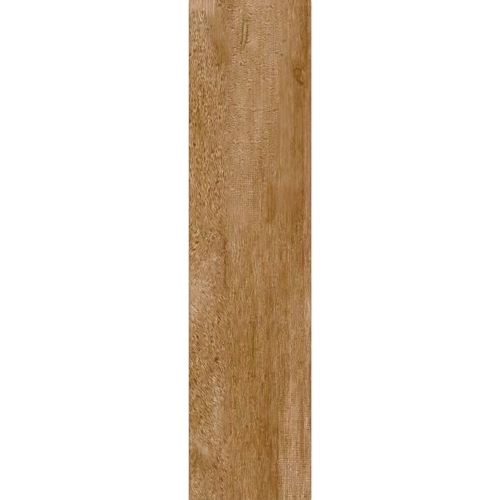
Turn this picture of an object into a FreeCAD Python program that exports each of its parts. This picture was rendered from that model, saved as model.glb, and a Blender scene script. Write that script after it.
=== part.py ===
"""Wood look porcelain plank tile: one pressed and fired ceramic plank, lying on its back with the glazed face up.

The origin is the centre of the resting plane. X runs across the plank, Y along its grain and Z up through the
glazed face. All lengths are in millimetres and all angles in degrees.
"""
import FreeCAD, Part
import math
import os

import Sketcher
from FreeCAD import Vector

NODE = "porcelain_plank"

# Driving dimensions: alias, value, what it measures
SIZES = [
    ("PlankLength", 600.0, "work size along the grain"),
    ("PlankWidth", 147.0, "work size across the grain"),
    ("Thickness", 9.0, "glazed face to resting ribs"),
    ("CollarHeight", 5.5, "square edge of full size below the glazed face"),
    ("CornerRound", 1.5, "plan radius of the four corners"),
    ("FaceRound", 0.8, "pressed round where the face meets the sides"),
    ("SideDraft", 5.0, "angle by which the sides draw in below the collar"),
    ("BackChamfer", 0.6, "bevel round the foot of the sides"),
    ("BorderLand", 7.0, "least solid land round the relief of the back"),
    ("RibWidth", 3.0, "crest of a rib between two pockets"),
    ("PocketWidth", 22.5, "mouth of a pocket across the plank"),
    ("PocketLength", 22.5, "mouth of a pocket along the plank"),
    ("PocketDepth", 0.8, "depth of the relief"),
    ("PocketCornerCut", 2.0, "leg of the straight cut at a pocket's corners"),
    ("PocketDraft", 40.0, "slope of the pocket walls from the vertical"),
]

# The relief repeats at this pitch, as often as it fits between the border lands
PITCH_ACROSS = "(Sizes.PocketWidth + Sizes.RibWidth)"
PITCH_ALONG = "(Sizes.PocketLength + Sizes.RibWidth)"
COUNT_ACROSS = f"floor((Sizes.PlankWidth - 2 * Sizes.BorderLand + Sizes.RibWidth) / {PITCH_ACROSS})"
COUNT_ALONG = f"floor((Sizes.PlankLength - 2 * Sizes.BorderLand + Sizes.RibWidth) / {PITCH_ALONG})"

START, END = 1, 2  # the two ends of a line or arc in a sketch
ORIGIN = -1  # a sketch's own origin
# The four corner cuts of a pocket, and the ends between which each one steps towards +X and towards +Y
CORNERS = ["TopRight", "TopLeft", "BottomLeft", "BottomRight"]
CUT_ENDS_ACROSS = [(END, START), (END, START), (START, END), (START, END)]
CUT_ENDS_ALONG = [(START, END), (END, START), (END, START), (START, END)]
ON_PLANE = 1e-4  # mm, how near an edge lies to the level that it is picked by
EVEN_SPACING = -1.0  # a pattern's mark for a step of the common offset


def add_sheet(doc):
    """The sheet of driving dimensions: each value under its alias, and beside it what it measures."""
    sheet = doc.addObject("Spreadsheet::Sheet", "Sizes")
    for row, (alias, value, meaning) in enumerate(SIZES, start=1):
        sheet.set(f"A{row}", str(value))
        sheet.setAlias(f"A{row}", alias)
        sheet.set(f"B{row}", meaning)
    doc.recompute()
    return sheet


def add_sketch(body, name, level="0"):
    """An empty sketch on the body's XY plane, raised to a level that is an expression on the sheet."""
    sketch = body.newObject("Sketcher::SketchObject", name)
    plane = next(item for item in body.Origin.OriginFeatures if item.Role == "XY_Plane")
    sketch.AttachmentSupport = (plane, [""])
    sketch.MapMode = "FlatFace"
    sketch.setExpression("AttachmentOffset.Base.z", level)
    return sketch


def add_dimension(sketch, name, expression, kind, *geometry_and_value):
    """A dimension with a name, driven by an expression on the sheet."""
    index = sketch.addConstraint(Sketcher.Constraint(kind, *geometry_and_value))
    sketch.renameConstraint(index, name)
    sketch.setExpression(f"Constraints.{name}", expression)


def draw_rounded_rectangle(sketch, width, length, radius):
    """Four sides joined by four tangent corner arcs, about the sketch's origin, and the indices of the sides."""
    x, y = width / 2, length / 2
    inner_x, inner_y = x - radius, y - radius
    corners = [(inner_x, inner_y), (-inner_x, inner_y), (-inner_x, -inner_y), (inner_x, -inner_y)]
    side_ends = [
        ((x, -inner_y), (x, inner_y)),
        ((inner_x, y), (-inner_x, y)),
        ((-x, inner_y), (-x, -inner_y)),
        ((-inner_x, -y), (inner_x, -y)),
    ]
    sides = [
        sketch.addGeometry(Part.LineSegment(Vector(*first, 0), Vector(*last, 0)), False)
        for first, last in side_ends
    ]
    arcs = []
    for quarter, centre in enumerate(corners):
        circle = Part.Circle(Vector(*centre, 0), Vector(0, 0, 1), radius)
        angle = quarter * math.pi / 2
        arcs.append(sketch.addGeometry(Part.ArcOfCircle(circle, angle, angle + math.pi / 2), False))
    for i, arc in enumerate(arcs):
        sketch.addConstraint(Sketcher.Constraint("Tangent", sides[i], END, arc, START))
        sketch.addConstraint(Sketcher.Constraint("Tangent", arc, END, sides[(i + 1) % 4], START))
    for arc in arcs[1:]:
        sketch.addConstraint(Sketcher.Constraint("Equal", arcs[0], arc))
    right, top, left, bottom = sides
    for upright in (right, left):
        sketch.addConstraint(Sketcher.Constraint("Vertical", upright))
    for level in (top, bottom):
        sketch.addConstraint(Sketcher.Constraint("Horizontal", level))
    return right, top, left, bottom, arcs[0]


def draw_cut_corner_rectangle(sketch, width, length, cut):
    """Four sides joined by four corner cuts, about the sketch's origin: the sides and the cuts."""
    x, y = width / 2, length / 2
    inner_x, inner_y = x - cut, y - cut
    corners = [
        (x, -inner_y), (x, inner_y),
        (inner_x, y), (-inner_x, y),
        (-x, inner_y), (-x, -inner_y),
        (-inner_x, -y), (inner_x, -y),
    ]
    lines = []
    for first, last in zip(corners, corners[1:] + corners[:1]):
        lines.append(sketch.addGeometry(Part.LineSegment(Vector(*first, 0), Vector(*last, 0)), False))
    for line, following in zip(lines, lines[1:] + lines[:1]):
        sketch.addConstraint(Sketcher.Constraint("Coincident", line, END, following, START))
    sides, cuts = lines[0::2], lines[1::2]
    right, top, left, bottom = sides
    for upright in (right, left):
        sketch.addConstraint(Sketcher.Constraint("Vertical", upright))
    for level in (top, bottom):
        sketch.addConstraint(Sketcher.Constraint("Horizontal", level))
    return sides, cuts


def add_outline(body, sheet):
    """The plank's plan outline, at the foot of the square collar and centred on the origin."""
    sketch = add_sketch(body, "Outline", "Sizes.Thickness - Sizes.CollarHeight")
    width, length, radius = sheet.PlankWidth, sheet.PlankLength, sheet.CornerRound
    right, top, left, bottom, arc = draw_rounded_rectangle(sketch, width, length, radius)
    add_dimension(sketch, "CornerRound", "Sizes.CornerRound", "Radius", arc, radius)
    half_width = ("DistanceX", ORIGIN, START, right, START, width / 2)
    half_length = ("DistanceY", ORIGIN, START, top, START, length / 2)
    add_dimension(sketch, "HalfWidth", "Sizes.PlankWidth / 2", *half_width)
    add_dimension(sketch, "HalfLength", "Sizes.PlankLength / 2", *half_length)
    add_dimension(sketch, "Width", "Sizes.PlankWidth", "DistanceX", left, START, right, START, width)
    add_dimension(sketch, "Length", "Sizes.PlankLength", "DistanceY", bottom, START, top, START, length)
    return sketch


def add_collar(body, outline):
    """The upper part of the plank, with square sides that meet the next plank's joint."""
    collar = body.newObject("PartDesign::Pad", "Collar")
    collar.Profile = outline
    collar.setExpression("Length", "Sizes.CollarHeight")
    return collar


def add_drafted_base(body, outline):
    """The lower part of the plank, which draws in towards the back so that it leaves the die."""
    base = body.newObject("PartDesign::Pad", "DraftedBase")
    base.Profile = outline
    base.Reversed = True
    base.setExpression("Length", "Sizes.Thickness - Sizes.CollarHeight")
    base.setExpression("TaperAngle", "-Sizes.SideDraft")
    return base


def edges_at(feature, level):
    """The names of a feature's edges that lie in the plane at a height."""
    names = []
    for number, edge in enumerate(feature.Shape.Edges, start=1):
        box = edge.BoundBox
        if abs(box.ZMin - level) < ON_PLANE and abs(box.ZMax - level) < ON_PLANE:
            names.append(f"Edge{number}")
    return names


def add_face_round(body, below, sheet):
    """The small pressed round all along the rim of the glazed face."""
    rounded = body.newObject("PartDesign::Fillet", "FaceRound")
    rounded.Base = (below, edges_at(below, sheet.Thickness))
    rounded.setExpression("Radius", "Sizes.FaceRound")
    return rounded


def add_back_chamfer(body, below):
    """The bevel round the foot of the sides."""
    bevel = body.newObject("PartDesign::Chamfer", "BackChamfer")
    bevel.Base = (below, edges_at(below, 0.0))
    bevel.setExpression("Size", "Sizes.BackChamfer")
    return bevel


def add_first_pocket(body, sheet):
    """One shallow pocket of the back, with sloped walls, in the corner of the relief nearest to -X and -Y."""
    sketch = add_sketch(body, "PocketMouth")
    width, length, cut = sheet.PocketWidth, sheet.PocketLength, sheet.PocketCornerCut
    sides, cuts = draw_cut_corner_rectangle(sketch, width, length, cut)
    right, top, left, bottom = sides
    for corner, line, across, along in zip(CORNERS, cuts, CUT_ENDS_ACROSS, CUT_ENDS_ALONG):
        across_leg = ("DistanceX", line, across[0], line, across[1], cut)
        along_leg = ("DistanceY", line, along[0], line, along[1], cut)
        add_dimension(sketch, f"CutAcross{corner}", "Sizes.PocketCornerCut", *across_leg)
        add_dimension(sketch, f"CutAlong{corner}", "Sizes.PocketCornerCut", *along_leg)
    add_dimension(sketch, "Width", "Sizes.PocketWidth", "DistanceX", left, START, right, START, width)
    add_dimension(sketch, "Length", "Sizes.PocketLength", "DistanceY", bottom, START, top, START, length)
    relief_left = f"({COUNT_ACROSS} * {PITCH_ACROSS} - Sizes.RibWidth) / 2"
    relief_foot = f"({COUNT_ALONG} * {PITCH_ALONG} - Sizes.RibWidth) / 2"
    add_dimension(sketch, "ReliefLeft", relief_left, "DistanceX", left, START, ORIGIN, START, width / 2)
    add_dimension(sketch, "ReliefFoot", relief_foot, "DistanceY", bottom, START, ORIGIN, START, length / 2)
    pocket = body.newObject("PartDesign::Pocket", "FirstPocket")
    pocket.Profile = sketch
    pocket.Reversed = True
    pocket.setExpression("Length", "Sizes.PocketDepth")
    pocket.setExpression("TaperAngle", "-Sizes.PocketDraft")
    return sketch, pocket


def add_relief(body, mouth, pocket):
    """The pocket repeated across and along the back, which leaves a grid of ribs standing between the pockets."""
    relief = body.newObject("PartDesign::LinearPattern", "BackRelief")
    relief.Originals = [pocket]
    relief.Direction = (mouth, ["H_Axis"])
    relief.Mode = "Spacing"
    relief.setExpression("Offset", PITCH_ACROSS)
    relief.setExpression("Occurrences", COUNT_ACROSS)
    relief.Direction2 = (mouth, ["V_Axis"])
    relief.Mode2 = "Spacing"
    relief.Spacings2 = [EVEN_SPACING]
    relief.setExpression("Offset2", PITCH_ALONG)
    relief.setExpression("Occurrences2", COUNT_ALONG)
    body.Tip = relief
    return relief


def build_plank(doc, sheet):
    """The plank's one body, from its outline to the relief of its back."""
    body = doc.addObject("PartDesign::Body", "PorcelainPlank")
    body.Label = NODE
    outline = add_outline(body, sheet)
    add_collar(body, outline)
    base = add_drafted_base(body, outline)
    doc.recompute()
    rounded = add_face_round(body, base, sheet)
    doc.recompute()
    add_back_chamfer(body, rounded)
    doc.recompute()
    mouth, pocket = add_first_pocket(body, sheet)
    doc.recompute()
    before_relief = pocket.Shape.Volume
    add_relief(body, mouth, pocket)
    doc.recompute()
    if not body.Shape.Volume < before_relief:
        raise RuntimeError("the relief cut nothing")
    return body


def check(doc, body):
    """Stops the build if a feature failed, or if the plank isn't one valid solid."""
    for item in doc.Objects:
        if {"Invalid", "Error"} & set(item.State):
            raise RuntimeError(f"{item.Label} failed: {item.State}")
    shape = body.Shape
    if shape.isNull() or not shape.isValid() or len(shape.Solids) != 1:
        raise RuntimeError(f"{body.Label} is not one valid solid")


def main():
    doc = FreeCAD.newDocument("PorcelainPlankTile")
    sheet = add_sheet(doc)
    body = build_plank(doc, sheet)
    check(doc, body)
    os.makedirs("parts", exist_ok=True)
    body.Shape.exportStep(os.path.join("parts", f"{body.Label}.step"))
    box = body.Shape.BoundBox
    print(f"{body.Label}: {box.XLength:.2f} x {box.YLength:.2f} x {box.ZLength:.2f} mm,", end=" ")
    print(f"z from {box.ZMin:.3f}, {len(body.Shape.Faces)} faces, {body.Shape.Volume:.0f} mm3")


main()
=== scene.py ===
"""Looks of a wood look porcelain plank tile, in metres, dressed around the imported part.

The glazed face is rebuilt as a fine grid that carries the pressed grain, and the printed wood is a node material.
Places on the face are in millimetres: across from its left long edge, and down from its upper short edge. The
larger marks of the wood, such as patches, veins and the knot, are painted as named fields on the points of the mesh.
All the grain between them is noise, built by the same functions for the print and for the pressed relief.
"""

import math
from typing import NamedTuple

import bmesh
import bpy
import numpy as np
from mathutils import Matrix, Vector


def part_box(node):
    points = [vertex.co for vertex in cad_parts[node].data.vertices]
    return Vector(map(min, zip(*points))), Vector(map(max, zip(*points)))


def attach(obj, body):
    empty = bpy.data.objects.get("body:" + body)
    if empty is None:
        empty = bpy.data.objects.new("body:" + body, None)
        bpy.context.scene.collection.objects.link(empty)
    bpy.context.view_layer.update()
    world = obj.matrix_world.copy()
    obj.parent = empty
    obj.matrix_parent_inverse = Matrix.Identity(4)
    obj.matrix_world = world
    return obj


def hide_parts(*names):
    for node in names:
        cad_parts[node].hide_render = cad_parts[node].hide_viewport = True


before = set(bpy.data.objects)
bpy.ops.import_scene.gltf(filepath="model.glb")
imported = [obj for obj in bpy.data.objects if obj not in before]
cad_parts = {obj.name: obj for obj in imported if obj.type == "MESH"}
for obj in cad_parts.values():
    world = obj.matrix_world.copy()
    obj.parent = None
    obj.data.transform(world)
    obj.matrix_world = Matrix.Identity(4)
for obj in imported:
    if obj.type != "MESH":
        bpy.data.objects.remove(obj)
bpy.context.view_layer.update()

NODE = "porcelain_plank"
BODY = "root"
MM = 0.001

# The plank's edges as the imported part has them, in millimetres
LOW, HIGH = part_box(NODE)
HALF_WIDTH = (HIGH[0] - LOW[0]) / 2 / MM
HALF_LENGTH = (HIGH[1] - LOW[1]) / 2 / MM
FACE_LEVEL = HIGH[2] / MM
CORNER_RADIUS = 1.5
FACE_ROUND = 0.8
COLLAR_FOOT = FACE_LEVEL - 5.5

# The grid of the face
CELLS_ACROSS = 240
CELLS_ALONG = 370
ROUND_STEPS = 5
CORNER_STEPS = 6

# The print's mean colour, in levels of 255 as a screen shows them, and what one step of each field adds to it
BASE_COLOUR = (165.5, 122.8, 78.2)
LIGHTER = (0.82, 1.02, 1.40)
LIGHTER_STREAKS = (0.96, 0.99, 1.16)
LIGHTER_GRAIN = (1.0, 1.0, 1.0)
ROSIER = (0.51, -0.81, 0.29)
WARMER = (0.70, 0.19, -0.69)
FULL_LEVEL = 255.0
SCREEN_GAMMA = 2.2
# What the glaze's sheen adds to its colour under even light, which the print is darker by
SHEEN = 0.0075

# The fired body's colours, in linear light
BODY_DARK = (0.36, 0.265, 0.175)
BODY_LIGHT = (0.46, 0.36, 0.25)
BODY_GRAIN = (0.62, 0.53, 0.42)
BODY_PIT = (0.22, 0.15, 0.09)
BODY_SPECK = (0.10, 0.06, 0.035)
KILN_WASH = (0.68, 0.65, 0.60)
GLAZE_RUN = (0.36, 0.20, 0.085)

# Single noise is scaled by this to a spread of about one
NOISE_GAIN = 7.0


class Mark(NamedTuple):
    """One oval mark of the wood: its centre and half sizes, its lean to the right on the way down, and its amounts."""

    across: float
    down: float
    half_width: float
    half_length: float
    lean: float = 0.0
    edge: float = 1.0
    tone: float = 0.0
    rose: float = 0.0
    amber: float = 0.0


MARKS = [
    # Upper end
    Mark(6.5, 0, 9, 12, edge=6, tone=23, rose=3, amber=1),
    Mark(17, 14, 4, 4, tone=5),
    Mark(19, 48, 4, 10, tone=5),
    Mark(24.5, 0, 9, 17, edge=4, tone=19, rose=2, amber=1),
    Mark(2.5, 12, 4, 5, tone=19, rose=1),
    Mark(1.5, 58, 2.5, 10, tone=8),
    Mark(54, 9, 5, 7, tone=-4),
    Mark(91, 9, 8, 5, tone=-7),
    Mark(101, 32, 3, 9, tone=9),
    Mark(62, 25, 4, 7, tone=6),
    Mark(80, 28, 6, 6, tone=6),
    Mark(16, 26, 6, 6, tone=6),
    Mark(59, 22, 4, 9, tone=12),
    Mark(77, 21, 4, 12, tone=8),
    Mark(40, 28, 4, 8, tone=-9),
    Mark(86, 44, 4, 8, tone=-9),
    Mark(58, 76, 15, 6, tone=6),
    Mark(9, 32, 9, 22, tone=9),
    Mark(85, 3, 18, 12, edge=1.5, tone=18),
    Mark(50, 8, 5, 14, tone=-10),
    Mark(32, 45, 5, 20, lean=20, tone=-8),
    Mark(39, 67, 8, 18, lean=15, edge=1.5, tone=-15, rose=-1),
    Mark(68.8, 23, 3.5, 8, tone=-8, rose=-4),
    Mark(77, 50, 5, 9, lean=-10, tone=22),
    Mark(97, 60, 9, 30, tone=9),
    Mark(89, 30, 5, 14, tone=6),
    Mark(114, 28, 7, 20, tone=4),
    # Dark right border of the upper end
    Mark(72, 42, 80, 50, edge=3, tone=4),
    Mark(138.5, 30, 4.5, 44, edge=1.5, tone=-13),
    Mark(132, 28, 4, 40, tone=-9),
    Mark(139, 76, 6, 22, tone=-8),
    Mark(144.5, 112, 2.5, 26, tone=-7),
    Mark(145, 50, 3, 30, tone=5),
    Mark(138, 13, 4, 6, tone=4),
    Mark(145.6, 14, 3, 22, tone=-4),
    Mark(144.6, 42, 3, 7, tone=6),
    Mark(144.6, 68, 3, 8, tone=-5),
    Mark(31, 14, 4, 8, tone=6),
    Mark(125, 76, 6, 9, tone=-9),
    # Below the knot
    Mark(130.6, 77, 7, 4, tone=-7, amber=2),
    Mark(138.2, 93, 2.6, 8, rose=4, amber=3),
    Mark(137.2, 112, 1.8, 8, tone=-12, amber=2),
    Mark(131.6, 123, 5.8, 19, edge=2, tone=-12),
    Mark(136, 146, 4, 7, tone=5),
    Mark(139, 160, 4, 50, tone=-2),
    Mark(128, 235, 5, 7, tone=-5),
    Mark(112, 263, 6, 10, tone=-6),
    Mark(134.8, 174, 4, 20, tone=-16),
    Mark(127, 160, 6, 64, tone=-7),
    Mark(133.5, 250, 6, 26, lean=-12, tone=-21, amber=-2),
    Mark(118, 240, 10, 10, tone=-10),
    Mark(124, 278, 6, 14, tone=-14),
    Mark(144, 225, 3.5, 28, tone=13),
    Mark(139, 276, 5, 14, tone=-6),
    # Middle of the upper half
    Mark(75, 140, 40, 58, edge=2, tone=2),
    Mark(75, 96, 6, 7, tone=9),
    Mark(34, 100, 6, 7, tone=7),
    Mark(17, 95, 5, 9, tone=6),
    Mark(9, 76, 7, 14, tone=-3),
    Mark(17, 80, 6, 5, tone=6),
    Mark(44, 164, 5, 8, tone=5),
    Mark(42, 75, 10, 14, tone=-4),
    Mark(101, 146, 5, 9, tone=7),
    Mark(100, 177, 6, 7, tone=6),
    Mark(50, 84, 8, 5, tone=5),
    Mark(62, 100, 5, 5, tone=-4),
    Mark(58, 193, 5, 8, tone=4),
    Mark(64, 121, 7, 22, tone=15),
    Mark(88, 122, 5, 20, tone=10),
    Mark(83, 150, 4, 20, tone=13),
    Mark(64, 180, 9, 22, tone=11),
    Mark(100, 170, 6, 18, tone=-9, rose=-1),
    Mark(85.6, 200, 4, 12, tone=-9),
    Mark(60, 252, 12, 32, tone=12),
    Mark(99, 245, 6, 23, lean=-2, edge=5, tone=-17),
    Mark(95, 222, 2.5, 9, edge=2, tone=-8),
    Mark(94.6, 266, 2.5, 3, tone=-18),
    Mark(106, 268, 7, 12, tone=-4),
    Mark(108, 293, 9, 8, tone=-9),
    Mark(72, 284, 6, 9, tone=-9),
    # Left border of the upper half
    Mark(16, 108, 3.5, 9, tone=-10),
    Mark(11, 150, 5, 11, tone=-15),
    Mark(2.5, 137, 3, 4, tone=10),
    Mark(2.5, 126, 4, 5, tone=-8),
    Mark(2.5, 208, 4, 14, edge=2, tone=9),
    Mark(2, 166, 3, 9, tone=22),
    Mark(6, 180, 5, 9, tone=-6),
    Mark(2, 243, 3, 5, tone=9),
    Mark(2, 270, 3, 6, tone=7),
    Mark(40, 296, 5, 5, tone=6),
    Mark(34, 230, 6, 7, tone=-5),
    Mark(24, 224, 4, 7, tone=6),
    Mark(2, 212, 3, 7, tone=9),
    Mark(45, 303, 6, 6, tone=3),
    Mark(30, 303, 6, 6, tone=-8),
    Mark(24, 258, 5, 5, tone=7),
    Mark(12, 292, 7, 7, tone=-4),
    Mark(2, 332, 3, 8, tone=9),
    Mark(20, 347, 7, 7, tone=9),
    Mark(22, 372, 6, 8, tone=6),
    Mark(32, 314, 6, 7, tone=6),
    Mark(16, 208, 5, 9, tone=-4),
    Mark(24, 120, 16, 20, tone=-4),
    Mark(41, 284, 4, 22, lean=5, tone=-12),
    Mark(24, 314, 8, 8, tone=5),
    # Middle of the plank
    Mark(100, 306, 4, 7, tone=6),
    Mark(76, 355, 5, 8, tone=-6),
    Mark(56, 362, 5, 5, tone=-5),
    Mark(46, 318, 5, 28, tone=-13),
    Mark(7, 356, 8, 26, edge=1.5, tone=18, rose=2),
    Mark(2.5, 382, 4, 16, tone=16),
    Mark(136, 374, 4, 8, tone=6),
    Mark(145.5, 391, 3, 8, tone=-8),
    Mark(22, 340, 9, 34, tone=12, rose=1),
    Mark(36, 364, 6, 24, tone=-8),
    Mark(68, 370, 5, 7, tone=6),
    Mark(50, 363, 3, 7, tone=8),
    Mark(13, 406, 6, 7, tone=-8),
    Mark(10, 384, 4, 7, tone=-7),
    Mark(8, 452, 8, 6, tone=-7),
    Mark(6, 486, 6, 12, tone=-6),
    Mark(10, 546, 9, 5, tone=-7),
    Mark(2, 527, 3, 8, tone=16),
    Mark(38, 490, 4, 8, tone=-6),
    Mark(64, 548, 4, 10, tone=-7),
    Mark(70, 560, 4, 8, tone=6),
    Mark(104, 530, 4, 8, tone=-3),
    Mark(113, 577, 5, 12, tone=-6),
    Mark(127, 556, 4, 12, tone=7),
    Mark(28, 408, 4, 8, tone=6),
    Mark(72, 326, 5, 9, tone=-7),
    Mark(90, 313, 3, 9, tone=-7),
    Mark(118, 341, 4, 7, tone=-10),
    Mark(128, 341, 4, 6, tone=8),
    Mark(132, 350, 12, 5, tone=-6),
    Mark(127, 388, 3, 20, tone=5),
    Mark(97, 363, 4, 7, tone=-9),
    Mark(84, 420, 4, 5, tone=-9),
    Mark(102, 382, 6, 5, lean=-40, tone=12),
    Mark(95, 409, 4, 6, tone=-7),
    Mark(57, 422, 7, 7, tone=-6),
    Mark(145.5, 418, 3, 8, tone=15),
    Mark(50, 411, 4, 6, tone=7),
    Mark(115, 376, 5, 15, tone=-10),
    Mark(18, 374, 4, 14, tone=-9),
    Mark(22, 488, 7, 14, tone=-8),
    Mark(53, 303, 3.5, 12, tone=14),
    Mark(83, 327, 4, 16, tone=10),
    Mark(76.6, 394, 5, 38, tone=-14, rose=-2),
    Mark(78, 387, 10, 6, tone=9),
    Mark(97.6, 370, 4, 28, tone=-18, amber=-3),
    Mark(113, 330, 6, 18, tone=-14),
    Mark(130, 314, 6, 15, tone=-17),
    Mark(136.9, 318, 1.8, 16, tone=-16, rose=3),
    Mark(140.4, 455, 2.6, 44, tone=5, amber=-2),
    Mark(144, 374, 3.5, 20, edge=1.5, tone=26),
    Mark(140, 328, 5, 8, tone=8),
    Mark(108, 397, 3.5, 7, tone=-10),
    Mark(66, 408, 34, 34, tone=-8),
    # Lower half
    Mark(122, 490, 26, 42, edge=2, tone=-3),
    Mark(127, 436, 3.5, 17, lean=-28, tone=-4),
    Mark(88, 433, 5, 6, tone=8),
    Mark(55, 461, 4, 6, tone=-9),
    Mark(67, 463, 4, 9, tone=9),
    Mark(135, 468, 5, 16, tone=-4),
    Mark(95, 497, 8, 4, tone=12),
    Mark(17, 517, 8, 8, tone=8),
    Mark(41, 516, 5, 8, tone=-10),
    Mark(121, 528, 4, 8, tone=-8),
    Mark(79, 574, 8, 5, tone=5),
    Mark(98, 565, 6, 6, tone=8),
    Mark(56, 545, 5, 6, tone=6),
    Mark(60, 525, 6, 6, tone=-5),
    Mark(115, 552, 5, 8, tone=-6),
    Mark(145.5, 560, 3, 26, tone=9),
    Mark(145.5, 512, 3, 14, tone=8),
    Mark(109, 530, 4, 8, tone=-5),
    Mark(129, 543, 6, 8, tone=-6),
    Mark(121, 566, 5, 9, tone=6),
    Mark(41, 502, 8, 7, tone=5),
    Mark(6, 528, 5, 6, tone=-6),
    Mark(2, 485, 3, 14, tone=8),
    Mark(2, 560, 3, 22, tone=6),
    Mark(30, 580, 9, 9, tone=-5),
    Mark(75, 585, 6, 12, tone=-5),
    Mark(55.6, 440, 7, 30, lean=5, tone=-11, rose=-1),
    Mark(56, 433, 6, 6, tone=10),
    Mark(55, 497, 4, 16, tone=-9),
    Mark(55, 463, 3, 5, tone=-9),
    Mark(31.6, 436, 4, 16, tone=-8, rose=1),
    Mark(35, 496, 4.5, 28, lean=3, tone=19),
    Mark(145.5, 468, 3, 14, edge=2, tone=-7),
    Mark(125, 454, 9, 4, tone=5),
    Mark(130, 495, 10, 8, tone=5),
    Mark(145.5, 495, 3, 6, tone=5),
    Mark(145.5, 574, 3, 5, tone=-6),
    Mark(1.5, 573, 3, 5, tone=-7),
    Mark(81, 563, 5, 5, tone=-5),
    Mark(106, 516, 6, 10, tone=-6),
    Mark(109, 583, 4.5, 12, tone=-13),
    Mark(132, 581, 6, 12, tone=-11),
    Mark(20, 552, 13, 9, tone=-8),
    Mark(34, 561, 6, 7, tone=-6),
    Mark(79.6, 460, 3.5, 18, tone=-11),
    Mark(71, 456, 4.5, 26, tone=-9),
    Mark(94, 468, 5.5, 20, tone=-17, amber=-2),
    Mark(95.5, 437, 3.5, 9, tone=-18),
    Mark(92, 526, 10, 32, lean=4, tone=-23, amber=-2),
    Mark(101, 584, 7, 28, edge=3, tone=-12),
    Mark(90, 588, 8, 15, tone=-8, amber=-1),
    Mark(112, 444, 4.5, 22, tone=-10),
    Mark(100, 447, 4, 7, tone=8),
    Mark(110, 484, 6, 10, tone=-10),
    Mark(73.6, 540, 16, 45, tone=-8, rose=-1),
    Mark(122.8, 502, 7.5, 54, lean=-3, edge=1.5, tone=15, rose=1, amber=2),
    Mark(119, 527, 2.5, 12, tone=-7),
    Mark(142, 510, 4, 36, tone=10),
    Mark(136, 543, 3.5, 16, tone=-10, rose=2),
    Mark(113, 560, 6, 12, tone=7),
    Mark(122, 585, 12, 24, edge=1.5, tone=15, rose=1),
    Mark(129, 590, 4, 12, tone=-8),
    Mark(137, 584, 9, 20, tone=15),
    Mark(2, 455, 5, 9, tone=-14),
    Mark(9, 504, 7, 9, tone=-13),
    Mark(4, 430, 4, 12, tone=-6),
    # Pale smudge and the shade under it
    Mark(13.5, 535, 3.2, 12, lean=44, edge=1.5, tone=24, rose=-2),
    Mark(20, 545, 5, 5, lean=30, tone=14, rose=-2),
    Mark(8.4, 553, 5, 11, lean=24, tone=-13),
    Mark(52, 584, 5, 14, tone=-10),
    Mark(14, 588, 9, 10, tone=5),
    # Slow casts of colour
    Mark(12, 200, 20, 240, edge=2, rose=-0.5),
    Mark(40, 300, 22, 320, edge=2, rose=0.3, amber=-1),
    Mark(14, 215, 16, 85, amber=3),
    Mark(40, 30, 70, 40, amber=-1),
    Mark(44, 26, 11, 30, amber=-1),
    Mark(74, 50, 13, 58, amber=1.7),
    Mark(14, 570, 16, 30, amber=-1.5),
    Mark(132, 24, 14, 30, rose=1),
    Mark(125, 102, 9, 16, rose=-1.5),
    Mark(14, 500, 16, 90, rose=-0.8),
    Mark(70, 440, 26, 150, edge=2, amber=2),
]


class Vein(NamedTuple):
    """One fine line of the grain: its two ends, how far it bows out to the right, its half width and its amounts."""

    across: float
    down: float
    end_across: float
    end_down: float
    bow: float = 0.0
    half_width: float = 0.8
    shade: float = 0.0
    rose: float = 0.0
    amber: float = 0.0


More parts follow.
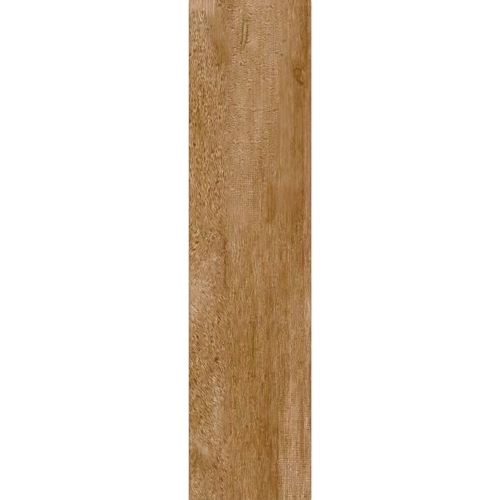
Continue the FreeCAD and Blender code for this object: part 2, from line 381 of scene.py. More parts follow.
VEINS = [
    # Light lines down the pale corner
    Vein(14.8, -8, 15.0, 20, half_width=0.7, shade=18),
    Vein(18.6, -8, 18.4, 22, half_width=0.7, shade=15),
    Vein(21.9, -8, 22.2, 21, half_width=0.7, shade=19),
    Vein(25.2, -8, 25.0, 20, half_width=0.6, shade=15),
    Vein(30.2, -8, 30.4, 20, half_width=0.8, shade=22),
    Vein(16.7, -8, 16.8, 18, half_width=0.6, shade=-15),
    Vein(20.2, -8, 20.3, 18, half_width=0.6, shade=-10),
    Vein(23.6, -8, 23.5, 20, half_width=0.6, shade=-15),
    Vein(27.8, -8, 27.6, 20, half_width=0.7, shade=-12),
    Vein(32.6, -8, 32.4, 14, half_width=0.7, shade=-14),
    # The pair of dark veins at the upper end, with pale wood beside them
    Vein(65.8, 20, 61.6, 62, bow=0.8, half_width=0.75, shade=-40),
    Vein(71.2, 30, 65.0, 61, bow=0.9, half_width=0.75, shade=-36),
    Vein(67.9, 27, 63.8, 58, bow=0.6, half_width=0.6, shade=16),
    Vein(73.4, 28, 70.2, 56, bow=1.0, half_width=0.8, shade=16),
    Vein(58.6, 30, 57.0, 58, bow=0.4, half_width=0.6, shade=-16),
    # Orange line down the right border, salmon below the knot
    Vein(140.9, -10, 141.1, 82, bow=0.3, half_width=1.7, shade=-24, amber=6),
    Vein(136.6, 2, 136.9, 70, bow=0.4, half_width=0.8, shade=-12),
    Vein(140.8, 74, 141.0, 108, bow=0.4, half_width=1.7, shade=-6, rose=5, amber=3),
    Vein(138.8, 102, 138.0, 120, half_width=1.1, shade=-20, amber=4),
    Vein(139.4, 100, 139.2, 350, bow=0.4, half_width=1.9, shade=4, rose=7),
    Vein(131.6, 104, 131.4, 150, half_width=1.6, shade=-6),
    Vein(127.0, 88, 126.6, 212, half_width=1.1, shade=-11, amber=1),
    Vein(124.5, 86, 124.2, 140, half_width=0.9, shade=12),
    Vein(123.3, 150, 123.6, 212, half_width=0.8, shade=-9),
    Vein(136.2, 100, 136.3, 330, bow=0.2, half_width=0.9, shade=-13, amber=2),
    Vein(142.6, 118, 142.3, 345, bow=0.3, half_width=0.7, shade=-9),
    # Long dark fibres of the middle and the lower half
    Vein(77.8, 385, 78.4, 434, bow=-0.5, half_width=0.9, shade=-22),
    Vein(81.0, 392, 80.2, 420, bow=0.3, half_width=0.8, shade=18),
    Vein(97.8, 527, 97.2, 580, bow=0.5, half_width=0.9, shade=-22),
    Vein(100.4, 520, 99.6, 570, bow=0.5, half_width=0.7, shade=10),
    Vein(106.9, 505, 107.2, 600, bow=-0.6, half_width=1.0, shade=-20),
    Vein(109.8, 500, 109.6, 600, bow=-0.5, half_width=0.9, shade=12),
    Vein(95.2, 476, 94.4, 520, bow=0.6, half_width=0.9, shade=-16),
    Vein(119.4, 380, 119.0, 470, bow=0.4, half_width=0.8, shade=-14),
    Vein(122.2, 330, 121.6, 470, bow=-0.3, half_width=0.9, shade=10),
    Vein(43.4, 284, 43.9, 345, bow=0.4, half_width=1.0, shade=-16),
    Vein(49.6, 430, 50.0, 560, bow=0.4, half_width=0.9, shade=-10),
    Vein(52.6, 440, 52.4, 548, bow=0.3, half_width=0.7, shade=8),
    Vein(115.8, 60, 116.0, 170, bow=0.3, half_width=0.7, shade=-7),
    Vein(88.4, 205, 87.6, 262, bow=0.3, half_width=0.9, shade=-12),
    Vein(42.4, 452, 42.8, 522, bow=0.3, half_width=0.9, shade=-14),
    # Dark columns of the lower right
    Vein(116.6, 540, 117.0, 606, bow=0.3, half_width=0.7, shade=-11),
    Vein(136.7, 336, 135.6, 606, bow=-0.2, half_width=0.9, shade=-13),
    Vein(144.4, 520, 144.6, 606, bow=-0.2, half_width=0.7, shade=-6),
    Vein(145.0, 430, 145.0, 496, half_width=0.8, shade=-28),
    Vein(141.4, 490, 141.4, 518, half_width=0.8, shade=-14),
    Vein(142.8, 336, 142.6, 410, half_width=0.9, shade=9),
    Vein(123.4, 500, 123.8, 560, bow=0.3, half_width=0.7, shade=9),
]

# The knot: the dark wood of its round body, of the lobe below and of the tip, and the paler spots on it
KNOT_DARK = (
    Mark(130.2, 88.4, 5.7, 6.6, edge=3, tone=-26),
    Mark(133.0, 95.4, 3.9, 7.2, lean=42, edge=3, tone=-28),
    Mark(131.7, 98.2, 1.3, 5.0, lean=52, edge=2, tone=-42),
    Mark(131.6, 92.2, 1.6, 1.3, tone=-46),
    Mark(136.4, 93.2, 1.5, 3.6, lean=4, edge=2, tone=-36),
    Mark(135.8, 101.0, 1.7, 2.0, edge=2, tone=-62),
)
KNOT_PALE = (
    Mark(130.8, 88.4, 1.7, 1.9, tone=14),
    Mark(135.0, 95.4, 1.2, 2.5, lean=42, edge=1.5, tone=28, rose=3),
    Mark(138.6, 88.8, 1.7, 1.8, lean=20, tone=22, rose=1),
)
# How much less rosy the knot is than its tone alone would make it
KNOT_OLIVE = 0.2
# The rings' middle, and each ring: its radius, its half width, its tone, how far below the middle it reaches, and
# how much of it shows on the left
RINGS_ACROSS, RINGS_DOWN = 130.2, 88.4
KNOT_RINGS = (
    (3.4, 0.9, -7, 4.0, 1.0),
    (5.3, 0.9, -27, -1.5, 1.0),
    (6.9, 0.6, 20, -1.5, 0.1),
    (8.3, 0.9, -25, -2.5, 0.4),
    (10.2, 0.6, 8, -4.0, 0.0),
    (11.5, 0.8, -10, -6.0, 0.2),
)
# The print at the long edges: darker, and over a little more of it cooler, but not on the rounding itself
RIM_TONE, RIM_ROSE, RIM_AMBER = -19, -4, -12
RIM_WIDTH = 2.8
COOL_WIDTH = 4.2
# 2 draws marks as ovals, more draws them as longer blocks with rounded corners
MARK_SQUARENESS = 3.2

# Where the grain is rubbed out to smooth wood, and how much of it, as the tone
SMOOTH = [
    Mark(36, 40, 9, 36, lean=12, edge=2, tone=0.75),
    Mark(26, 62, 5, 16, tone=0.4),
    Mark(108, 36, 8, 22, tone=0.3),
    Mark(7, 150, 8, 26, tone=0.16),
    Mark(8, 34, 9, 22, tone=0.12),
    Mark(36, 322, 8, 16, tone=0.15),
    Mark(84, 116, 8, 12, tone=0.75),
    Mark(66, 112, 6, 5, tone=0.6),
    Mark(72, 150, 6, 8, tone=0.5),
    Mark(78, 52, 5, 9, lean=-10, tone=0.5),
    Mark(112, 150, 8, 40, edge=2, tone=0.6),
    Mark(119, 230, 8, 30, edge=2, tone=0.5),
    Mark(99, 242, 7, 26, edge=3, tone=0.55),
    Mark(54, 252, 7, 10, tone=0.7),
    Mark(70, 262, 8, 10, tone=0.5),
    Mark(86, 290, 8, 8, tone=0.5),
    Mark(8, 356, 8, 14, tone=0.4),
    Mark(30, 358, 5, 10, tone=0.4),
    Mark(112, 352, 5, 14, tone=0.5),
    Mark(127, 340, 9, 48, tone=0.22),
    Mark(96, 350, 8, 52, tone=0.2),
    Mark(96, 420, 7, 12, tone=0.5),
    Mark(101, 500, 8, 12, tone=0.5),
    Mark(62, 404, 6, 8, tone=0.5),
    Mark(40, 504, 5, 14, tone=0.5),
    Mark(16, 538, 5, 13, lean=46, tone=0.88),
    Mark(18, 560, 9, 10, tone=0.5),
    Mark(98, 575, 4, 22, tone=0.5),
    Mark(128, 500, 4, 40, tone=0.4),
]


def smooth_step(low, high, value):
    """From 0 at low to 1 at high, with level ends."""
    share = np.clip((value - low) / (high - low), 0, 1)
    return share * share * (3 - 2 * share)


def oval(mark, across, down):
    """How far each place lies from a mark's centre, as a share of the mark's half size."""
    lean = math.radians(mark.lean)
    off_across = across - mark.across
    off_down = down - mark.down
    side = off_across * math.cos(lean) - off_down * math.sin(lean)
    run = off_across * math.sin(lean) + off_down * math.cos(lean)
    power = MARK_SQUARENESS
    return (np.abs(side / mark.half_width) ** power + np.abs(run / mark.half_length) ** power) ** (1 / power)


def coverage(mark, across, down):
    """How much of a mark shows at each place: 1 at its centre, fading out beyond its half size."""
    return np.exp(-0.7 * oval(mark, across, down) ** (2 * mark.edge))


def line_coverage(vein, across, down):
    """How much of a vein shows at each place: 1 along its middle, fading to its sides and towards its two ends."""
    share = (down - vein.down) / (vein.end_down - vein.down)
    middle = vein.across + (vein.end_across - vein.across) * share + vein.bow * np.sin(math.pi * share)
    taper = smooth_step(0, 0.12, share) * smooth_step(0, 0.12, 1 - share)
    return taper * np.exp(-0.7 * np.abs((across - middle) / vein.half_width) ** 3)


def wander(across, down):
    """A slow sideways drift, so that marks bend a little as grain does."""
    return (
        0.7 * np.sin(down / 13.1 + 0.9)
        + 0.5 * np.sin(down / 5.7 + across / 11 + 2.1)
        + 0.35 * np.sin(down / 2.9 - across / 7 + 4.2)
    )


def paint_knot(fields, across, down):
    """Adds the knot to the tone and the rose: its dark wood, the paler spots, and the rings over its upper side."""
    dark = np.min([part.tone * coverage(part, across, down) for part in KNOT_DARK], axis=0)
    fields["tone"] += dark
    fields["rose"] += dark * KNOT_OLIVE
    for part in KNOT_PALE:
        cover = coverage(part, across, down)
        for name in ("tone", "rose"):
            fields[name] += getattr(part, name) * cover
    off_across = across - RINGS_ACROSS
    off_down = down - RINGS_DOWN
    reach = np.hypot(off_across, off_down * 0.85)
    right = smooth_step(-6, 2, off_across)
    for radius, half_width, tone, foot, left in KNOT_RINGS:
        shown = (left + (1 - left) * right) * (1 - smooth_step(foot - 1.5, foot + 1.5, off_down))
        fields["tone"] += tone * shown * np.exp(-0.7 * ((reach - radius) / half_width) ** 2)


def paint_colour(across, down):
    """The fields that colour the print: tone of the marks, shade of the fine lines, rose and amber."""
    bent = across + wander(across, down)
    fields = {name: np.zeros_like(across) for name in ("tone", "shade", "rose", "amber")}
    for mark in MARKS:
        cover = coverage(mark, bent, down)
        for name in ("tone", "rose", "amber"):
            fields[name] += getattr(mark, name) * cover
    slightly_bent = across + 0.35 * wander(across, down)
    for vein in VEINS:
        cover = line_coverage(vein, slightly_bent, down)
        for name in ("shade", "rose", "amber"):
            fields[name] += getattr(vein, name) * cover
    paint_knot(fields, across, down)
    rim = np.minimum(across, 2 * HALF_WIDTH - across)
    fields["tone"] += RIM_TONE * (1 - smooth_step(0, RIM_WIDTH, rim))
    cool = smooth_step(0, FACE_ROUND, rim) * (1 - smooth_step(0, COOL_WIDTH, rim))
    fields["rose"] += RIM_ROSE * cool
    fields["amber"] += RIM_AMBER * cool
    return fields


def band(value, low, high, soft):
    """1 between low and high, fading out over a soft width on each side."""
    return smooth_step(low - soft, low + soft, value) * (1 - smooth_step(high - soft, high + soft, value))


def paint_texture(across, down):
    """The fields that say where each kind of grain lies."""
    bent = across + 3 * wander(across, down)
    left = 1 - smooth_step(38, 52, bent)
    slanted = left * band(down, 262, 600, 26)
    leaning = left * np.maximum(
        band(down, 262, 335, 12) * (1 - smooth_step(8, 16, bent)),
        band(down, 540, 582, 8) * (1 - smooth_step(7, 13, bent)),
    )
    crossed = left * (1 - leaning) * np.maximum(
        band(down, 276, 342, 10),
        band(down, 562, 620, 10) * band(bent, 16, 42, 4),
    )
    slanted = slanted * (1 - leaning) * (1 - crossed)
    curled = band(bent, 47, 116 - 9 * smooth_step(60, 100, down), 5) * band(down, -6, 200, 14)
    woven = band(bent, 50, 86, 5) * band(down, 204, 268, 9)
    rungs = band(across, 108, 149, 1.5) * band(down, 470, 612, 14)
    upright = np.clip(1 - slanted - leaning - crossed - curled - woven - rungs, 0, 1)
    fibrous = upright * smooth_step(38, 56, bent)
    flowing = (upright - fibrous) * smooth_step(145, 180, down)
    calm = smooth_step(104, 114, bent) * (1 - smooth_step(238, 268, down)) * smooth_step(-60, 130, down)
    pale_corner = band(bent, -9, 32, 1) * (1 - smooth_step(9, 17, down))
    seam = 0.25 * band(bent, 43, 56, 5) * band(down, 190, 470, 12)
    rough = np.clip(1.0 + seam - 0.12 * smooth_step(40, 60, bent) - 0.45 * calm - 0.65 * pale_corner, 0.1, 2)
    for mark in SMOOTH:
        rough = rough * (1 - mark.tone * coverage(mark, across + wander(across, down), down))
    return {
        "gritty": 0.3 - 0.15 * calm + 0.15 * (slanted + leaning + crossed) + 0.1 * curled,
        "upright": upright - fibrous - flowing,
        "fibrous": fibrous,
        "flowing": flowing,
        "slanted": slanted,
        "leaning": leaning,
        "crossed": crossed,
        "curled": curled,
        "woven": woven,
        "rungs": rungs,
        "crisp": rough,
        "streaked": 0.4 + 0.6 * smooth_step(40, 90, bent) - 0.25 * calm,
    }


def paint(mesh):
    """Stores all fields on the mesh's points, by name."""
    points = np.empty(len(mesh.vertices) * 3, np.float32)
    mesh.vertices.foreach_get("co", points)
    points = points.reshape(-1, 3).astype(float) / MM
    across = points[:, 0] + HALF_WIDTH
    down = HALF_LENGTH - points[:, 1]
    fields = {**paint_colour(across, down), **paint_texture(across, down)}
    rim = np.minimum(HALF_WIDTH - np.abs(points[:, 0]), HALF_LENGTH - np.abs(points[:, 1]))
    fields["pressed"] = smooth_step(CORNER_RADIUS, CORNER_RADIUS + 1.5, rim) * (points[:, 2] > FACE_LEVEL - 0.01)
    for name, values in fields.items():
        layer = mesh.attributes.new(name, "FLOAT", "POINT")
        layer.data.foreach_set("value", values.astype(np.float32))


def outline_ring(offset, level):
    """Points of the plank's outline, moved out from the corner centres by an offset, anticlockwise from -Y +X."""
    x, y = HALF_WIDTH - CORNER_RADIUS, HALF_LENGTH - CORNER_RADIUS
    steps_along = [-y + 2 * y * i / CELLS_ALONG for i in range(CELLS_ALONG + 1)]
    steps_across = [x - 2 * x * i / CELLS_ACROSS for i in range(CELLS_ACROSS + 1)]
    sides = [
        [(x, step) for step in steps_along],
        [(step, y) for step in steps_across],
        [(-x, -step) for step in steps_along],
        [(-step, -y) for step in steps_across],
    ]
    ring = []
    for quarter, side in enumerate(sides):
        turn = quarter * math.pi / 2
        for px, py in side:
            ring.append((px + offset * math.cos(turn), py + offset * math.sin(turn), level))
        for i in range(1, CORNER_STEPS):
            angle = turn + math.pi / 2 * i / CORNER_STEPS
            px, py = side[-1]
            ring.append((px + offset * math.cos(angle), py + offset * math.sin(angle), level))
    return ring


def grid_edge(points):
    """The grid's outer points in the order of an outline ring, with each corner point repeated along its arc."""
    last_along, last_across = CELLS_ALONG, CELLS_ACROSS
    sides = [
        [points[last_across][j] for j in range(last_along + 1)],
        [points[i][last_along] for i in range(last_across, -1, -1)],
        [points[0][j] for j in range(last_along, -1, -1)],
        [points[i][0] for i in range(last_across + 1)],
    ]
    edge = []
    for side in sides:
        edge += side
        edge += [side[-1]] * (CORNER_STEPS - 1)
    return edge


def join_rings(model, inner, outer):
    """Faces between two rings with as many points, without the doubles at a repeated point."""
    count = len(inner)
    for i in range(count):
        following = (i + 1) % count
        corners = [inner[i], outer[i], outer[following], inner[following]]
        distinct = list(dict.fromkeys(corners))
        if len(distinct) > 2:
            model.faces.new(distinct)


def angle_round(vertex):
    """A vertex's place along the outline, from -pi to pi."""
    return math.atan2(vertex.co.y / HALF_LENGTH, vertex.co.x / HALF_WIDTH)


def zip_loops(model, upper, lower):
    """Triangles down the square side, between a loop of many points and the sparse loop below it."""
    upper = sorted(upper, key=angle_round)
    lower = sorted(lower, key=angle_round)
    upper_count, lower_count = len(upper), len(lower)
    i = j = 0
    while i < upper_count or j < lower_count:
        next_upper = angle_round(upper[i + 1]) if i + 1 < upper_count else math.pi + i - upper_count
        next_lower = angle_round(lower[j + 1]) if j + 1 < lower_count else math.pi + j - lower_count
        here_upper, here_lower = upper[i % upper_count], lower[j % lower_count]
        if j >= lower_count or (i < upper_count and next_upper <= next_lower):
            model.faces.new([here_upper, here_lower, upper[(i + 1) % upper_count]])
            i += 1
        else:
            model.faces.new([here_upper, here_lower, lower[(j + 1) % lower_count]])
            j += 1


def lower_body(model):
    """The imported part's own base and back, without the collar above them, and the loop of points that is left open."""
    model.from_mesh(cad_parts[NODE].data)
    bmesh.ops.transform(model, matrix=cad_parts[NODE].matrix_world, verts=model.verts)
    bmesh.ops.scale(model, vec=(1 / MM, 1 / MM, 1 / MM), verts=model.verts)
    bmesh.ops.remove_doubles(model, verts=model.verts, dist=0.001)
    above = [face for face in model.faces if min(v.co.z for v in face.verts) > COLLAR_FOOT - 0.01]
    bmesh.ops.delete(model, geom=above, context="FACES")
    return [vertex for vertex in model.verts if any(edge.is_boundary for edge in vertex.link_edges)]


def make_plank():
    """The whole plank as one closed mesh, with the face as a fine grid."""
    model = bmesh.new()
    foot = lower_body(model)
    x, y = HALF_WIDTH - CORNER_RADIUS, HALF_LENGTH - CORNER_RADIUS
    grid = [
        [
            model.verts.new((-x + 2 * x * i / CELLS_ACROSS, -y + 2 * y * j / CELLS_ALONG, FACE_LEVEL))
            for j in range(CELLS_ALONG + 1)
        ]
        for i in range(CELLS_ACROSS + 1)
    ]
    for i in range(CELLS_ACROSS):
        for j in range(CELLS_ALONG):
            model.faces.new([grid[i][j], grid[i + 1][j], grid[i + 1][j + 1], grid[i][j + 1]])
    ring = grid_edge(grid)
    for step in range(ROUND_STEPS + 1):
        angle = math.pi / 2 * step / ROUND_STEPS
        offset = CORNER_RADIUS - FACE_ROUND + FACE_ROUND * math.sin(angle)
        level = FACE_LEVEL - FACE_ROUND + FACE_ROUND * math.cos(angle)
        outer = [model.verts.new(point) for point in outline_ring(offset, level)]
        join_rings(model, ring, outer)
        ring = outer
    zip_loops(model, ring, foot)
    bmesh.ops.recalc_face_normals(model, faces=model.faces)
    bmesh.ops.scale(model, vec=(MM, MM, MM), verts=model.verts)
    for face in model.faces:
        face.smooth = True
    mesh = bpy.data.meshes.new("plank")
    model.to_mesh(mesh)
    model.free()
    mesh.set_sharp_from_angle(angle=math.radians(32))
    return mesh


class Signal:
    """A number in a node tree. Arithmetic on it adds maths nodes to the tree."""

    def __init__(self, tree, socket):
        self.tree = tree
        self.socket = socket

    def maths(self, operation, *others):
        node = self.tree.nodes.new("ShaderNodeMath")
        node.operation = operation
        for socket, value in zip(node.inputs, (self, *others)):
            plug(self.tree, socket, value)
        return Signal(self.tree, node.outputs[0])

    def __add__(self, other):
        return self.maths("ADD", other)

    def __sub__(self, other):
        return self.maths("SUBTRACT", other)

    def __mul__(self, other):
        return self.maths("MULTIPLY", other)

    def __truediv__(self, other):
        return self.maths("DIVIDE", other)

    def stepped(self, low, high, start=0.0, end=1.0):
        """This number taken from low..high to start..end, with level ends."""
        node = self.tree.nodes.new("ShaderNodeMapRange")
        node.interpolation_type = "SMOOTHSTEP"
        for name, value in zip(("Value", "From Min", "From Max", "To Min", "To Max"), (self, low, high, start, end)):
            plug(self.tree, node.inputs[name], value)
        return Signal(self.tree, node.outputs["Result"])


def plug(tree, socket, value):
    """Links a signal to a socket, or sets the socket to a plain number."""
    if isinstance(value, Signal):
        tree.links.new(value.socket, socket)
    else:
        socket.default_value = value


def shader_field(tree, name):
    """A painted field in a material."""
    node = tree.nodes.new("ShaderNodeAttribute")
    node.attribute_name = name
    return Signal(tree, node.outputs["Fac"])


def modifier_field(tree, name):
    """A painted field in a geometry modifier."""
    node = tree.nodes.new("GeometryNodeInputNamedAttribute")
    node.data_type = "FLOAT"
    node.inputs["Name"].default_value = name
    return Signal(tree, node.outputs["Attribute"])


def face_place(tree, position):
    """The signals across and down, in millimetres, and the height, from a position in metres."""
    parts = tree.nodes.new("ShaderNodeSeparateXYZ")
    tree.links.new(position, parts.inputs[0])
    x, y, z = (Signal(tree, parts.outputs[i]) for i in range(3))
    return x / MM + HALF_WIDTH, (y / MM - HALF_LENGTH) * -1.0, z / MM


def noise(across, down, width, length, seed, detail=0.0):
    """Noise about zero, with a spread of about one, whose lumps have a width and a length in millimetres."""
    tree = across.tree
    place = tree.nodes.new("ShaderNodeCombineXYZ")
    plug(tree, place.inputs[0], across / width + seed * 17.3)
    plug(tree, place.inputs[1], down / length + seed * 5.9)
    node = tree.nodes.new("ShaderNodeTexNoise")
    node.noise_dimensions = "2D"
    tree.links.new(place.outputs[0], node.inputs["Vector"])
    node.inputs["Scale"].default_value = 1.0
    node.inputs["Detail"].default_value = detail
    node.inputs["Roughness"].default_value = 0.5
    return (Signal(tree, node.outputs[0]) - 0.5) * NOISE_GAIN


def lumps(tree, position, size, seed, detail=0.0):
    """Noise about zero in all three directions, from a position in metres, whose lumps have a size in millimetres."""
    place = tree.nodes.new("ShaderNodeVectorMath")
    place.operation = "MULTIPLY_ADD"
    place.inputs[1].default_value = [1 / (size * MM)] * 3
    place.inputs[2].default_value = [seed * 17.3] * 3
    tree.links.new(position, place.inputs[0])
    node = tree.nodes.new("ShaderNodeTexNoise")
    tree.links.new(place.outputs[0], node.inputs["Vector"])
    node.inputs["Scale"].default_value = 1.0
    node.inputs["Detail"].default_value = detail
    node.inputs["Roughness"].default_value = 0.5
    return (Signal(tree, node.outputs[0]) - 0.5) * NOISE_GAIN


def blended(tree, share, first, second):
    """The first colour where the share is 0, and the second where it is 1."""
    node = tree.nodes.new("ShaderNodeMix")
    node.data_type = "RGBA"
    plug(tree, node.inputs["Factor"], share)
    for name, colour in (("A", first), ("B", second)):
        socket = next(entry for entry in node.inputs if entry.name == name and entry.type == "RGBA")
        if isinstance(colour, tuple):
            socket.default_value = (*colour, 1)
        else:
            tree.links.new(colour, socket)
    return next(entry for entry in node.outputs if entry.type == "RGBA")


def bumped(tree, shader, height, depth):
    """Gives the shader a bump from a height signal, whose unit is a depth in millimetres."""
    node = tree.nodes.new("ShaderNodeBump")
    node.inputs["Strength"].default_value = 1.0
    node.inputs["Distance"].default_value = depth * MM
    plug(tree, node.inputs["Height"], height)
    tree.links.new(node.outputs[0], shader.inputs["Normal"])


def leaned(across, down, lean):
    """Places turned so that grain along the second signal leans to the right on its way down."""
    lean = math.radians(lean)
    side = across * math.cos(lean) - down * math.sin(lean)
    run = across * math.sin(lean) + down * math.cos(lean)
    return side, run


def crisp(signal):
    """Noise with its lumps filled out to dark and light strokes."""
    return signal.stepped(-1.5, 1.5, -1.35, 1.35)


def scored(signal):
    """Noise with its lumps drawn as thin dark strokes between flatter lights."""
    return signal.stepped(-1.65, 1.2, -1.65, 1.2)


def wave(place, pitch):
    """A wave between -1 and 1 along a place in millimetres."""
    return (place * (2 * math.pi / pitch)).maths("SINE")


def strokes(across, down, lean, pitch, length, seed):
    """Thin dark strokes of a length that lean to the right on their way down: some evenly apart, and some between."""
    side, run = leaned(across, down, lean)
    rows = wave(side + noise(side, run, 4.5, 1.5 * length, seed=seed) * 0.8, pitch).stepped(-1.0, 0.1, -1.9, 0.7)
    gaps = noise(side, run, 2.6, length, seed=seed + 40).stepped(-0.9, 0.7, 0.0, 1.25)
    between = scored(noise(side, run, 0.9, 0.85 * length, seed=seed + 50))
    return (rows * gaps * 0.85 + between * 0.55 + 0.1).maths("MAXIMUM", -1.5)


def grain(across, down, field):
    """The fine grain at each place, in levels of tone, and the slow streaks along the plank."""
    bent = across + noise(across, down, 12, 20, seed=1) * 0.5
    rippled = down + noise(across, down, 7.5, 8, seed=4) * 0.95
    broken = noise(across, down, 4.6, 2.4, seed=19).stepped(-0.9, 1.0, 0.1, 1.35)
    ripples = wave(rippled, 2.7).stepped(-1.0, 0.2, -1.5, 0.75)
    ticks = crisp(noise(across, down, 1.05, 3.2, seed=14))
    weft = down + noise(across, down, 9, 6, seed=6) * 0.35
    warp = across + noise(across, down, 6, 14, seed=7) * 0.35
    rung_bands = noise(across, down, 3.2, 60, seed=15).stepped(-0.9, 0.9, 0.15, 1.3)
    columns = crisp(noise(across, down, 1.5, 34, seed=23))
    slanted = strokes(bent, down, 32, pitch=3.4, length=6, seed=3)
    leaning = strokes(bent, down, -32, pitch=3.4, length=6, seed=17)
    combed = noise(bent, down, 1.0, 4.2, seed=2) * 0.84 + noise(bent, down, 1.05, 20, seed=24) * 0.5
    kinds = {
        "upright": scored(combed) * 1.04,
        "flowing": strokes(bent, down, 8, pitch=3.1, length=6, seed=5) * 1.17 - 0.1,
        "fibrous": crisp(noise(bent, down, 1.3, 16, seed=16)) * 0.43 + ticks * 0.48,
        "slanted": slanted * 1.06,
        "leaning": leaning * 1.06,
        "crossed": slanted.maths("MINIMUM", leaning) + 0.4,
        "curled": ripples * broken * 0.97 + ticks * 0.3,
        "woven": (wave(warp, 2.6) + wave(weft, 2.5)) * 0.54 + ticks * 0.44,
        "rungs": wave(weft, 2.5).stepped(-1.0, 0.4, -1.4, 0.8) * rung_bands * 0.6 + columns * 0.46 + ticks * 0.54,
    }
    fine = field("gritty") * noise(across, down, 0.95, 1.3, seed=18)
    for name, kind in kinds.items():
        fine = fine + field(name) * kind
    patchy = noise(across, down, 8, 14, seed=8, detail=1).stepped(-1.4, 1.4, 0.6, 1.3)
    fine = fine * field("crisp") * patchy
    streaks = noise(across, down, 2.0, 70, seed=9, detail=2) * field("streaked")
    return fine, streaks


def at_least(tree, colour, least):
    """A colour whose parts are no less than a number."""
    node = tree.nodes.new("ShaderNodeVectorMath")
    node.operation = "MAXIMUM"
    node.inputs[1].default_value = (least, least, least)
    tree.links.new(colour, node.inputs[0])
    return node.outputs[0]


def screen_colour(tree, amounts):
    """The base colour with each field's colour step added as a screen adds them, then made linear."""
    total = None
    for amount, step in amounts:
        scaled = tree.nodes.new("ShaderNodeVectorMath")
        scaled.operation = "SCALE"
        scaled.inputs[0].default_value = [part / FULL_LEVEL for part in step]
        plug(tree, scaled.inputs["Scale"], amount)
        added = tree.nodes.new("ShaderNodeVectorMath")
        added.operation = "ADD"
        tree.links.new(scaled.outputs[0], added.inputs[0])
        if total is None:
            added.inputs[1].default_value = [part / FULL_LEVEL for part in BASE_COLOUR]
        else:
            tree.links.new(total, added.inputs[1])
        total = added.outputs[0]
    linear = tree.nodes.new("ShaderNodeGamma")
    linear.inputs["Gamma"].default_value = SCREEN_GAMMA
    tree.links.new(at_least(tree, total, 0.02), linear.inputs["Color"])
    dulled = tree.nodes.new("ShaderNodeVectorMath")
    dulled.operation = "SUBTRACT"
    dulled.inputs[1].default_value = (SHEEN, SHEEN, SHEEN)
    tree.links.new(linear.outputs["Color"], dulled.inputs[0])
    return at_least(tree, dulled.outputs[0], 0.003)


def make_print():
    """The matt glazed face with its printed wood."""
    material = bpy.data.materials.new("wood_print_glaze")
    material.use_nodes = True
    tree = material.node_tree
    shader = tree.nodes["Principled BSDF"]
    position = tree.nodes.new("ShaderNodeTexCoord").outputs["Object"]
    across, down, height = face_place(tree, position)

    def field(name):
        return shader_field(tree, name)

    fine, streaks = grain(across, down, field)
    mottle = noise(across, down, 5, 13, seed=11, detail=2)
    hue = noise(across, down, 13, 36, seed=12, detail=2)
    cast = noise(across, down, 6, 30, seed=13, detail=1)
    fibres = noise(across, down, 0.28, 7, seed=22, detail=1)
    lights = fine.maths("MAXIMUM", 0.0)
    darks = fine.maths("MINIMUM", 0.0)
    steps = [
        (field("tone") + mottle * 1.5, LIGHTER),
        (streaks * 6.0 + mottle * 2.5 + fibres * 5.0, LIGHTER_STREAKS),
        (fine * 23.5 + field("shade"), LIGHTER_GRAIN),
        (field("rose") + hue * 1.5 + lights * -1.6, ROSIER),
        (field("amber") + cast * 1.8 + darks * 1.6, WARMER),
    ]
    colour = screen_colour(tree, steps)
    tree.links.new(colour, shader.inputs["Base Color"])
    rough = (fine * -0.04 + mottle * 0.02 + 0.52).maths("MINIMUM", 0.75)
    plug(tree, shader.inputs["Roughness"], rough.maths("MAXIMUM", 0.38))
    shader.inputs["Specular IOR Level"].default_value = 0.11
    pores = lumps(tree, position, 0.35, seed=21, detail=1)
    bumped(tree, shader, fine * 0.6 + pores * 0.25, 0.03)
    return material


def make_body():
    """The fired body on the sides and the back: buff with specks, glaze run over its upper edge, pale wash below."""
    material = bpy.data.materials.new("fired_body")
    material.use_nodes = True
    tree = material.node_tree
    shader = tree.nodes["Principled BSDF"]
    position = tree.nodes.new("ShaderNodeTexCoord").outputs["Object"]
    across, down, height = face_place(tree, position)
    clouds = lumps(tree, position, 26, seed=31, detail=2)
    gritty = lumps(tree, position, 0.55, seed=32, detail=2)
    colour = blended(tree, clouds.stepped(-2, 2), BODY_DARK, BODY_LIGHT)
    colour = blended(tree, gritty.stepped(-0.4, 2.2) * 0.45, colour, BODY_GRAIN)
    colour = blended(tree, gritty.stepped(-0.4, -2.2) * 0.5, colour, BODY_PIT)
    specks = lumps(tree, position, 0.8, seed=33).stepped(1.7, 2.1)
    colour = blended(tree, specks * 0.8, colour, BODY_SPECK)
    rubbed = lumps(tree, position, 9, seed=34, detail=3).stepped(-1.2, 0.8, 0.15, 0.85)
    wash = height.stepped(0.30, 0.05) * rubbed
    colour = blended(tree, wash, colour, KILN_WASH)
    run = height + noise(across, down, 5, 5, seed=35, detail=2) * 0.35
    glazed = run.stepped(FACE_LEVEL - 2.4, FACE_LEVEL - 1.0)
    colour = blended(tree, glazed * 0.85, colour, GLAZE_RUN)
    tree.links.new(colour, shader.inputs["Base Color"])
    plug(tree, shader.inputs["Roughness"], gritty * 0.04 + 0.85 - glazed * 0.3)
    shader.inputs["Specular IOR Level"].default_value = 0.25
    bumped(tree, shader, (gritty * 0.5 + specks * -1.0) * (glazed * -0.7 + 1.0), 0.05)
    return material


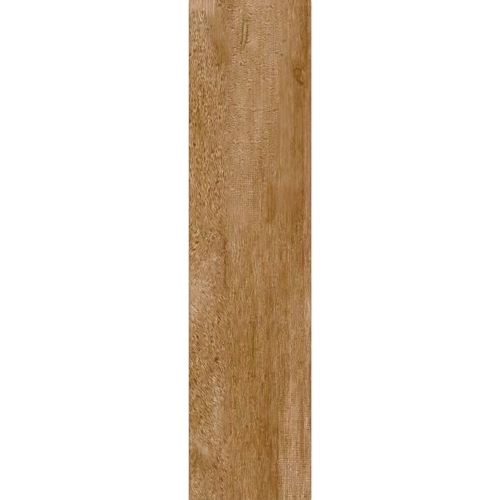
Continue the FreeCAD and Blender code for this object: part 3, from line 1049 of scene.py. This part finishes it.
def press_grain(piece):
    """The grain pressed into the face, as a modifier that is applied to the piece's mesh."""
    tree = bpy.data.node_groups.new("pressed_grain", "GeometryNodeTree")
    tree.interface.new_socket("Geometry", in_out="INPUT", socket_type="NodeSocketGeometry")
    tree.interface.new_socket("Geometry", in_out="OUTPUT", socket_type="NodeSocketGeometry")
    entry = tree.nodes.new("NodeGroupInput")
    result = tree.nodes.new("NodeGroupOutput")
    place = tree.nodes.new("GeometryNodeInputPosition")
    across, down, height = face_place(tree, place.outputs[0])

    def field(name):
        return modifier_field(tree, name)

    fine, streaks = grain(across, down, field)
    depth = fine.stepped(-1.4, 0.9, 0.16, 0.0) + streaks.stepped(-1.5, 1.5, 0.06, 0.0)
    offset = tree.nodes.new("ShaderNodeCombineXYZ")
    plug(tree, offset.inputs[2], depth * field("pressed") * -MM)
    moved = tree.nodes.new("GeometryNodeSetPosition")
    tree.links.new(entry.outputs[0], moved.inputs["Geometry"])
    tree.links.new(offset.outputs[0], moved.inputs["Offset"])
    tree.links.new(moved.outputs[0], result.inputs[0])
    modifier = piece.modifiers.new("pressed_grain", "NODES")
    modifier.node_group = tree
    bpy.context.view_layer.update()
    ready = piece.evaluated_get(bpy.context.evaluated_depsgraph_get())
    mesh = bpy.data.meshes.new_from_object(ready)
    piece.modifiers.clear()
    piece.data = mesh


def dress_plank():
    """The plank as it is seen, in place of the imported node."""
    mesh = make_plank()
    paint(mesh)
    piece = bpy.data.objects.new("plank_tile", mesh)
    bpy.context.scene.collection.objects.link(piece)
    press_grain(piece)
    piece.data.materials.append(make_print())
    piece.data.materials.append(make_body())
    for face in piece.data.polygons:
        face.material_index = 0 if face.center.z > (FACE_LEVEL - FACE_ROUND) * MM else 1
    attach(piece, BODY)
    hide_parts(NODE)
    return piece


def light_path(tree, name):
    """One of the light path's answers."""
    return Signal(tree, tree.nodes.new("ShaderNodeLightPath").outputs[name])


def make_floor():
    """A plain white floor that keeps the plank's soft shadow."""
    bpy.ops.mesh.primitive_plane_add(size=8, location=(0, 0, -0.0002))
    floor = bpy.context.object
    floor.name = "floor"
    material = bpy.data.materials.new("floor_white")
    material.use_nodes = True
    tree = material.node_tree
    shader = tree.nodes["Principled BSDF"]
    shader.inputs["Base Color"].default_value = (0.86, 0.86, 0.86, 1)
    shader.inputs["Roughness"].default_value = 1.0
    shader.inputs["Specular IOR Level"].default_value = 0.0
    shader.inputs["Emission Color"].default_value = (1, 1, 1, 1)
    plug(tree, shader.inputs["Emission Strength"], light_path(tree, "Is Camera Ray") * 0.4)
    floor.data.materials.append(material)


def make_light():
    """Even soft light from above, with a key from the upper left and a white surround."""
    world = bpy.data.worlds.new("surround")
    bpy.context.scene.world = world
    world.use_nodes = True
    tree = world.node_tree
    background = tree.nodes["Background"]
    background.inputs["Color"].default_value = (1, 1, 1, 1)
    seen = light_path(tree, "Is Camera Ray").maths("MAXIMUM", light_path(tree, "Is Glossy Ray"))
    plug(tree, background.inputs["Strength"], seen * 0.55 + 0.45)
    for name, strength, angle, azimuth, elevation in (
        ("key", 1.21, 40, 140, 74),
        ("fill", 0.505, 60, -40, 70),
    ):
        lamp = bpy.data.lights.new(name, "SUN")
        lamp.energy = strength
        lamp.angle = math.radians(angle)
        holder = bpy.data.objects.new(name, lamp)
        turn, rise = math.radians(azimuth), math.radians(elevation)
        towards = Vector((math.cos(turn) * math.cos(rise), math.sin(turn) * math.cos(rise), math.sin(rise)))
        holder.rotation_euler = towards.to_track_quat("Z", "Y").to_euler()
        bpy.context.scene.collection.objects.link(holder)


def make_camera():
    """A long lens straight above the face, which fills the frame's height."""
    camera = bpy.data.cameras.new("camera")
    camera.lens = 300
    camera.sensor_width = 36
    distance = (HIGH[1] - LOW[1] - 2 * FACE_ROUND * MM) * camera.lens / camera.sensor_width
    camera.clip_end = 100
    holder = bpy.data.objects.new("camera", camera)
    holder.location = (0, 0, HIGH[2] + distance)
    bpy.context.scene.collection.objects.link(holder)
    bpy.context.scene.camera = holder


bpy.context.scene.view_settings.view_transform = "Standard"
make_camera()
make_light()
make_floor()
dress_plank()
